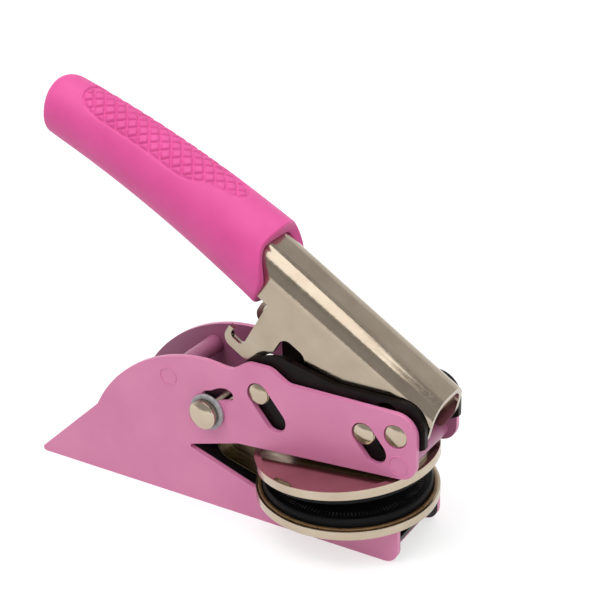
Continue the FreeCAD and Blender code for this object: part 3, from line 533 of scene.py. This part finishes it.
def groove(along, around):
    """Depth of the grooves at a place on the grip's back."""
    if not GROOVE_LAST < along < GROOVE_FIRST or abs(around) > GROOVE_AROUND:
        return 0.0
    gap = outline_distance(along, around)
    if gap < -GROOVE_OUTSIDE:
        return 0.0
    edge = math.exp(-(gap / GROOVE_HALF) ** 2)
    if gap < 0:
        return GROOVE_DEPTH * GROOVE_EDGE_SHARE * edge
    slope = GROOVE_ALONG * GROOVE_ACROSS / math.hypot(GROOVE_ALONG, GROOVE_ACROSS)
    cut = edge * GROOVE_EDGE_SHARE
    place, turn = along - GROOVE_CROSSING[0], around - GROOVE_CROSSING[1]
    for side in (1, -1):
        phase = place / GROOVE_ALONG + side * turn / GROOVE_ACROSS
        away = abs(phase - round(phase)) * slope
        cut = max(cut, math.exp(-(away / GROOVE_HALF) ** 2) * min(1.0, gap / GROOVE_RUN_IN))
    return GROOVE_DEPTH * cut


def spread(stops):
    """Places along a line from rows of a start and a step, with the last end."""
    places = []
    for (start, step), (end, _) in zip(stops, stops[1:]):
        count = max(1, round(abs(end - start) / step))
        places += [start + (end - start) * i / count for i in range(count)]
    return places + [stops[-1][0]]


def ring_angles():
    """Angles round the grip: close together on its back, wider below. 0 is the top."""
    half = spread([(0.0, 1.6), (66.0, 5.0), (180.0, 5.0)])
    return [math.radians(a) for a in half] + [-math.radians(a) for a in half[-2:0:-1]]


def bore_reach(angle):
    """Distance from the grip's middle to the wall of its bore, in the direction of an angle."""
    reach = 0.0
    direction = Vector((math.sin(angle), math.cos(angle)))
    while True:
        spot = direction * (reach + BORE_STEP)
        across = abs(spot.x)
        up = spot.y + GRIP_MIDDLE
        corner = BORE_ROUND if up > (BORE_TOP + BORE_BOTTOM) / 2 else BORE_LOW_ROUND
        inner_x = max(0.0, across - (BORE_HALF_WIDTH - corner))
        limit = BORE_TOP if corner == BORE_ROUND else BORE_BOTTOM
        inner_y = max(0.0, corner - abs(limit - up)) if abs(limit - up) < corner else 0.0
        beyond = up > BORE_TOP or up < BORE_BOTTOM or across > BORE_HALF_WIDTH
        if beyond or math.hypot(inner_x, inner_y) > corner:
            return reach
        reach += BORE_STEP


def handle_point(along, across, up):
    """Point in metres from millimetres along, across and above the tilted handle."""
    return Vector((
        PIVOT.x + along * math.cos(TILT) + up * math.sin(TILT),
        across,
        PIVOT.z - along * math.sin(TILT) + up * math.cos(TILT),
    )) * MM


def link_piece(name, points, faces, slot, smooth=True, material=None):
    mesh = bpy.data.meshes.new(name)
    mesh.from_pydata(points, [], faces)
    work = bmesh.new()
    work.from_mesh(mesh)
    bmesh.ops.remove_doubles(work, verts=work.verts, dist=0.0005 * MM)
    bmesh.ops.recalc_face_normals(work, faces=work.faces)
    work.to_mesh(mesh)
    work.free()
    mesh.polygons.foreach_set("use_smooth", [smooth] * len(mesh.polygons))
    mesh.materials.append(MATERIALS[material or slot])
    piece = bpy.data.objects.new(name, mesh)
    bpy.context.scene.collection.objects.link(piece)
    return piece


def skin(rings, close_start=True, close_end=True):
    """Points and faces of a tube through rings of points, with a fan at each closed end."""
    size = len(rings[0])
    points = [p for ring in rings for p in ring]
    faces = []
    for r in range(len(rings) - 1):
        for i in range(size):
            j = (i + 1) % size
            faces.append((r * size + i, r * size + j, (r + 1) * size + j, (r + 1) * size + i))
    for ring, wanted in ((0, close_start), (len(rings) - 1, close_end)):
        if wanted:
            base = ring * size
            centre = sum((Vector(points[base + i]) for i in range(size)), Vector()) / size
            points.append(centre)
            faces += [(base + i, base + (i + 1) % size, len(points) - 1) for i in range(size)]
    return points, faces


def grip_piece():
    """Rubber grip: lipped mouth that hugs the channel, round body, grooved oval, rounded end."""
    angles = ring_angles()
    bore = [bore_reach(a) for a in angles]
    rings = []

    def ring(along_of, radius_of):
        points = []
        for a, inner in zip(angles, bore):
            along, radius = along_of(a), radius_of(a, inner)
            middle = grip_middle(max(GRIP_END, min(along, GRIP_MOUTH)))
            points.append(handle_point(along, radius * math.sin(a), middle + radius * math.cos(a)))
        rings.append(points)

    def lip(a, inner):
        return min(GRIP_LIP, (GRIP_WIDE - inner) / 2)

    for depth in BORE_DEPTHS:
        ring(lambda a: GRIP_MOUTH + mouth_shift(a) - depth, lambda a, inner: inner)
    turns = [math.pi / 2 * i / MOUTH_STEPS for i in range(MOUTH_STEPS + 1)]
    for turn in turns:
        ring(
            lambda a: GRIP_MOUTH + mouth_shift(a) - BORE_EDGE * (1 - math.sin(turn)),
            lambda a, inner: inner + BORE_EDGE * (1 - math.cos(turn)),
        )
    for turn in turns:
        ring(
            lambda a: GRIP_MOUTH + mouth_shift(a) - GRIP_LIP * (1 - math.cos(turn)),
            lambda a, inner: GRIP_WIDE - lip(a, inner) * (1 - math.sin(turn)),
        )
    start = GRIP_MOUTH - GRIP_LIP
    body = spread([(start - 0.5, 0.8), (GROOVE_FIRST, 0.24), (GROOVE_LAST, 0.5),
                   (GRIP_END + 2.0, 0.25), (GRIP_END + 0.12, 0.25)])
    for along in body:
        ease = eased(max(0.0, 1 - (start - along) / MOUTH_FADE))
        ring(
            lambda a: along + mouth_shift(a) * ease + end_slant(along, a),
            lambda a, inner: grip_radius(along) - groove(along, a * grip_radius(along)),
        )
    points, faces = skin(rings)
    piece = link_piece("grip_cover", points, faces, "grip_rubber")
    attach(piece, "lever")
    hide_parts("grip")


# Insert spring: its run below the lower disc, the bend at the rear and the run over the upper disc
STRIP_WALL = 0.8
STRIP_HALF_WIDTH = 6.0
STRIP_LOW = ((-4.0, 9.6), (-26.54, 9.6), (-35.17, 11.92))
STRIP_BEND = (-33.98, 16.36)
STRIP_BEND_RADIUS = 4.6
STRIP_BEND_ENDS = (255.0, 95.0)
STRIP_TOP = ((-34.38, 20.94), (18.32, 25.52))
STRIP_CORNER = 0.25
STRIP_LOW_STEPS = 10
STRIP_BEND_STEPS = 24
STRIP_TOP_STEPS = 30


def strip_line():
    """Middle line of the strip, in the XZ plane."""
    line = []
    steps = STRIP_LOW_STEPS
    for (x0, z0), (x1, z1) in zip(STRIP_LOW, STRIP_LOW[1:]):
        line += [(x0 + (x1 - x0) * i / steps, z0 + (z1 - z0) * i / steps) for i in range(steps)]
    first, last = STRIP_BEND_ENDS
    for i in range(STRIP_BEND_STEPS + 1):
        turn = math.radians(first + (last - first) * i / STRIP_BEND_STEPS)
        line.append((STRIP_BEND[0] + STRIP_BEND_RADIUS * math.cos(turn),
                     STRIP_BEND[1] + STRIP_BEND_RADIUS * math.sin(turn)))
    (x0, z0), (x1, z1) = STRIP_TOP
    steps = STRIP_TOP_STEPS
    line += [(x0 + (x1 - x0) * i / steps, z0 + (z1 - z0) * i / steps)
             for i in range(1, steps + 1)]
    return [Vector((x, 0.0, z)) for x, z in line]


def strip_section():
    """Flat section with rounded corners, as places across and above the middle line."""
    corner = STRIP_CORNER
    half, wall = STRIP_HALF_WIDTH - corner, STRIP_WALL / 2 - corner
    section = []
    for number, (sx, sz) in enumerate(((1, 1), (-1, 1), (-1, -1), (1, -1))):
        for i in range(5):
            turn = math.pi / 2 * (number + i / 4)
            section.append((sx * half + corner * math.cos(turn), sz * wall + corner * math.sin(turn)))
    return section


def strip_piece():
    """Bent steel strip that carries the upper disc, with its bend between the run on the frame and
    the run over the disc.
    """
    line = strip_line()
    section = strip_section()
    rings = []
    for i, spot in enumerate(line):
        before, after = line[max(0, i - 1)], line[min(len(line) - 1, i + 1)]
        along = (after - before).normalized()
        up = Vector((0, 1, 0)).cross(along)
        rings.append([(spot + Vector((0, 1, 0)) * y + up * z) * MM for y, z in section])
    points, faces = skin(rings)
    piece = link_piece("insert_strip", points, faces, "spring_steel")
    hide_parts("insert_spring")
    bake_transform(piece)


def turned(profile, centre, axis, steps=72, closed=False):
    """Points and faces of a turned form: rows of a radius and a place along the Y or Z axis."""
    rings = []
    for radius, along in profile + (profile[:1] if closed else []):
        ring = []
        for i in range(steps):
            turn = 2 * math.pi * i / steps
            a, b = radius * math.cos(turn), radius * math.sin(turn)
            ring.append((centre + Vector((a, along, b) if axis == "Y" else (a, b, along))) * MM)
        rings.append(ring)
    return skin(rings, not closed, not closed)


def joined(forms):
    """Points and faces of several forms as one."""
    points, faces = [], []
    for more, sides in forms:
        faces += [tuple(i + len(points) for i in side) for side in sides]
        points += more
    return points, faces


BEVEL_STEPS = 7
BEVEL_FLATTEN = 0.8
CROWN_STEPS = 13


def dome(radius, base, edge, bevel, rise):
    """Profile of a round head: straight edge, bevel and spherical crown, from its base up."""
    crown = radius - bevel
    ball = (crown * crown + rise * rise) / (2 * rise)
    reach = math.asin(crown / ball)
    top = base + edge + bevel
    profile = [(radius, base), (radius, base + edge)]
    for i in range(1, BEVEL_STEPS):
        turn = math.pi / 2 * i / BEVEL_STEPS
        profile.append((crown + bevel * math.cos(turn),
                        base + edge + bevel * math.sin(turn) * BEVEL_FLATTEN))
    for i in range(CROWN_STEPS):
        turn = reach * (1 - i / CROWN_STEPS)
        profile.append((ball * math.sin(turn), top + rise - ball * (1 - math.cos(turn))))
    return profile


def mirrored(profile):
    return [(radius, -along) for radius, along in profile]


PIN_BODIES = (("pivot_pin", "frame"), ("press_pin", "ram"), ("guide_pin", "ram"))
PIN_RADIUS_INSET = 0.04
PIN_END_OVERLAP = 0.1
# Straight edge, bevel and crown of a round head
PIN_HEAD = (0.15, 0.35, 0.6)
CAP_HEAD = (1.85, 0.3, 1.0)
CAP_RADIUS = 4.2
CAP_BASE = 13.45
SWAGE_WIRE = 0.19
SWAGE_SIDES = 10
PLATE_FACE = 12.3


def bar_axis(node):
    """Middle of a bar along Y, and its radius and half length, in millimetres."""
    low, high = (Vector(corner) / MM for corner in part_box(node))
    middle = (low + high) / 2
    return Vector((middle.x, 0, middle.z)), (high.x - low.x) / 2, high.y


def pin_end_pieces():
    """Bevelled, crowned ends of the three pins that show in the side plates."""
    for node, body in PIN_BODIES:
        centre, radius, end = bar_axis(node)
        profile = dome(radius - PIN_RADIUS_INSET, end - PIN_END_OVERLAP, *PIN_HEAD)
        points, faces = joined([turned(p, centre, "Y") for p in (profile, mirrored(profile))])
        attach(link_piece(node + "_ends", points, faces, "nickel"), body)


def cap_pieces():
    """Domed heads on the ends of the lock pin."""
    profile = dome(CAP_RADIUS, CAP_BASE, *CAP_HEAD)
    centre = bar_axis("lock_pin")[0]
    for side, form in (("left", profile), ("right", mirrored(profile))):
        points, faces = turned(form, centre, "Y")
        piece = link_piece(side + "_cap_head", points, faces, "nickel")
        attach(piece, "lock")
        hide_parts(side + "_lock_cap")


def swage_pieces():
    """Low painted rings round the spacers' ends, where these are pressed into the plates."""
    forms = []
    for node in ("front_spacer", "rear_spacer"):
        centre, radius, _ = bar_axis(node)
        wire = [(radius + SWAGE_WIRE * math.cos(t), PLATE_FACE + SWAGE_WIRE * math.sin(t))
                for t in (2 * math.pi * i / SWAGE_SIDES for i in range(SWAGE_SIDES))]
        forms += [turned(w, centre, "Y", closed=True) for w in (wire, mirrored(wire))]
    points, faces = joined(forms)
    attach(link_piece("swage_rings", points, faces, "frame_paint"), "frame")


# Bead round the top of the lower disc, and fine ribs round the rim of the lower die
BEAD = ((24.15, 12.44), (24.3, 12.6), (24.2, 12.75), (23.9, 12.82), (23.55, 12.82), (23.3, 12.7),
        (23.25, 12.44))
BEAD_STEPS = 180
RIB_COUNT = 132
RIB_IN = 19.6
RIB_OUT = 21.0
RIB_HALF = 0.16
RIB_LOW = 14.85
RIB_HIGH = 15.0


def bead_piece():
    points, faces = turned(list(BEAD), Vector((0, 0, 0)), "Z", BEAD_STEPS, closed=True)
    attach(link_piece("disc_bead", points, faces, "spring_steel", material="bead"), "frame")


def rib_piece():
    """Ring of fine radial ribs near the rim of the lower die."""
    forms = []
    for i in range(RIB_COUNT):
        turn = 2 * math.pi * i / RIB_COUNT
        along = Vector((math.cos(turn), math.sin(turn), 0))
        side = Vector((-along.y, along.x, 0)) * RIB_HALF
        points = [(along * r + side * s + Vector((0, 0, z))) * MM
                  for z in (RIB_LOW, RIB_HIGH) for r in (RIB_IN, RIB_OUT) for s in (-1, 1)]
        faces = [(0, 1, 3, 2), (4, 5, 7, 6), (0, 1, 5, 4), (2, 3, 7, 6), (0, 2, 6, 4), (1, 3, 7, 5)]
        forms.append((points, faces))
    points, faces = joined(forms)
    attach(link_piece("die_ribs", points, faces, "die_black", smooth=False, material="rib"), "frame")


# Lamps: name, place, what it points at and size in metres, and watts
LAMP_AIM = (-0.02, 0.0, 0.05)
LAMPS = (
    ("ceiling", (0.14, 0.0, 0.95), (0.14, 0.0, 0.0), (1.1, 1.1), 7.6),
    ("key", (-0.25, -0.45, 0.75), LAMP_AIM, (0.5, 0.5), 2.5),
    ("fill", (0.75, -0.25, 0.45), LAMP_AIM, (0.5, 0.5), 1.1),
)


def light(name, spot, aim, size, power):
    data = bpy.data.lights.new(name, "AREA")
    data.shape = "RECTANGLE"
    data.size, data.size_y = size
    data.energy = power
    lamp = bpy.data.objects.new(name, data)
    lamp.location = spot
    lamp.visible_camera = False
    lamp.visible_glossy = name == "ceiling"
    lamp.rotation_euler = (Vector(aim) - Vector(spot)).to_track_quat("-Z", "Y").to_euler()
    bpy.context.scene.collection.objects.link(lamp)


def set_lights():
    for lamp in LAMPS:
        light(*lamp)


def background_rays(n):
    """1 for rays that see the background straight, in metal or through glass."""
    rays = n.add("LightPath")
    seen = n.math("MAXIMUM", rays.outputs["Is Camera Ray"], rays.outputs["Is Glossy Ray"])
    return n.math("MAXIMUM", seen, rays.outputs["Is Transmission Ray"])


# Background that the metal mirrors, by height of the direction, from -1 straight down to 1
# overhead: the white backdrop behind the object, and the greyer room in front of it
BACKDROP = ((-1.00, 1.00), (0.36, 1.00), (0.50, 0.85), (0.62, 0.60), (0.72, 0.38), (0.82, 0.27),
            (1.00, 0.27))
FRONT_ROOM = ((-1.00, 1.00), (0.01, 1.00), (0.04, 0.30), (0.12, 0.46), (0.30, 0.50), (0.60, 0.46),
              (0.85, 0.30), (1.00, 0.30))
BACKDROP_SIDE = (-0.53, 0.85, 0.0)
BACKDROP_BLEND = 0.25
ROOM_LIGHT = 0.36


def set_world():
    """White to the eye, a greyer room in the metal, and a plain soft light on the object."""
    world = bpy.data.worlds.new("studio")
    world.use_nodes = True
    n = Nodes(world.node_tree)
    back = world.node_tree.nodes["Background"]
    direction = n.add("TexCoord").outputs["Generated"]
    parts = n.add("SeparateXYZ")
    n.put(parts.inputs[0], direction)
    height = n.span(parts.outputs["Z"], -1.0, 1.0)
    walls = [n.ramp(height, [((z + 1) / 2, (level, level, level)) for z, level in rows])
             for rows in (FRONT_ROOM, BACKDROP)]
    side = n.span(n.vector("DOT_PRODUCT", direction, BACKDROP_SIDE),
                  -BACKDROP_BLEND, BACKDROP_BLEND)
    plain = (ROOM_LIGHT, ROOM_LIGHT, ROOM_LIGHT)
    straight = n.add("LightPath").outputs["Is Camera Ray"]
    shown = n.blend(straight, n.blend(side, *walls), (1.0, 1.0, 1.0))
    n.put(back.inputs["Color"], n.blend(background_rays(n), plain, shown))
    bpy.context.scene.world = world


# Floor's own light as seen and as it falls on the object, its fade to white, and its half side
FLOOR_GLOW = 0.61
FLOOR_LIGHT = 0.37
FLOOR_FADE = (120.0, 700.0)
FLOOR_HALF = 4.0


def set_floor():
    """Pale floor that shows white, with the object's soft shadow."""
    material, n, shader = new_material("floor_white")
    grain = n.noise(n.place(0.2), detail=3)
    n.put(shader.inputs["Base Color"],
          n.blend(grain, (0.42, 0.42, 0.42), (0.46, 0.46, 0.46)))
    shader.inputs["Roughness"].default_value = 0.9
    n.put(shader.inputs["Emission Color"], (1.0, 1.0, 1.0))
    glow = n.span(n.vector("LENGTH", n.place()), *FLOOR_FADE, FLOOR_GLOW, 1.0)
    more = n.math("MULTIPLY", background_rays(n), n.math("SUBTRACT", glow, FLOOR_LIGHT))
    n.put(shader.inputs["Emission Strength"], n.math("ADD", more, FLOOR_LIGHT))
    mesh = bpy.data.meshes.new("floor")
    side = FLOOR_HALF
    mesh.from_pydata([(-side, -side, 0), (side, -side, 0), (side, side, 0), (-side, side, 0)], [],
                     [(0, 1, 2, 3)])
    mesh.materials.append(material)
    floor = bpy.data.objects.new("floor", mesh)
    bpy.context.scene.collection.objects.link(floor)


set_camera()
set_world()
set_floor()
set_lights()
bpy.context.scene.view_settings.view_transform = "Standard"
dress_nodes()
grip_piece()
strip_piece()
pin_end_pieces()
cap_pieces()
swage_pieces()
bead_piece()
rib_piece()
